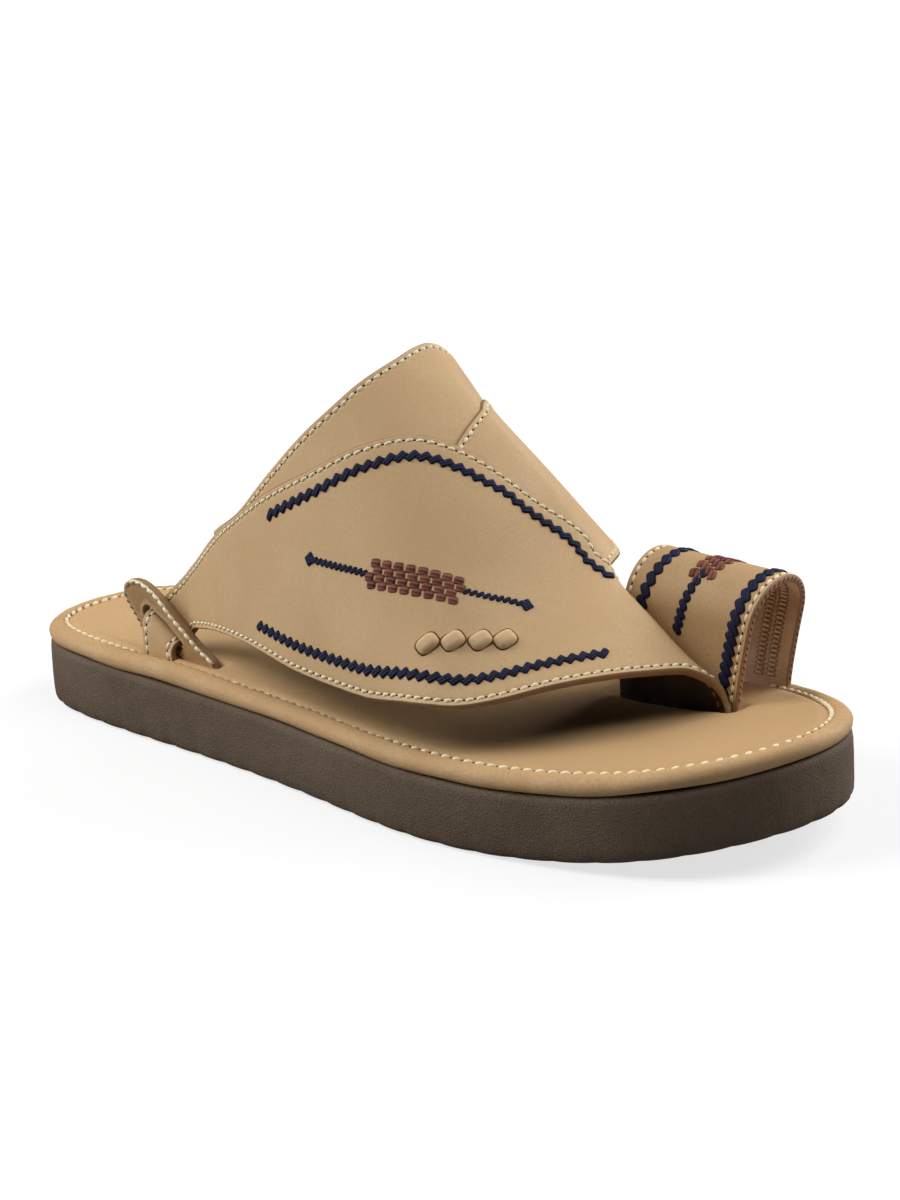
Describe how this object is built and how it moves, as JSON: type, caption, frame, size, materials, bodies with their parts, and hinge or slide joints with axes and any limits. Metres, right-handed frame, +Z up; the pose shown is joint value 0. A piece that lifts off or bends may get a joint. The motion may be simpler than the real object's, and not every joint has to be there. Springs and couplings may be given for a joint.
{
  "type": "arabic sandal",
  "caption": "Right-foot leather slide sandal with a wrapped instep upper, a toe loop and slotted strap ears on a padded platform sole.",
  "frame": {"origin": "middle of the sole's length and width at the floor", "axes": "+Y from the heel to the toe, +Z up from the floor, +X to the outer (little-toe) side of the right foot"},
  "size_m": [0.1038, 0.2834, 0.118],
  "materials": {
    "tan_leather": "smooth nubuck, matte",
    "footbed_leather": "smooth nubuck, matte",
    "sole_compound": "matte, fine leather-like grain"
  },
  "bodies": {
    "root": {"outsole": "sole_compound", "footbed": "footbed_leather", "upper": "tan_leather", "toe_loop": "tan_leather", "ear_lateral": "tan_leather", "ear_medial": "tan_leather"}
  },
  "joints": []
}
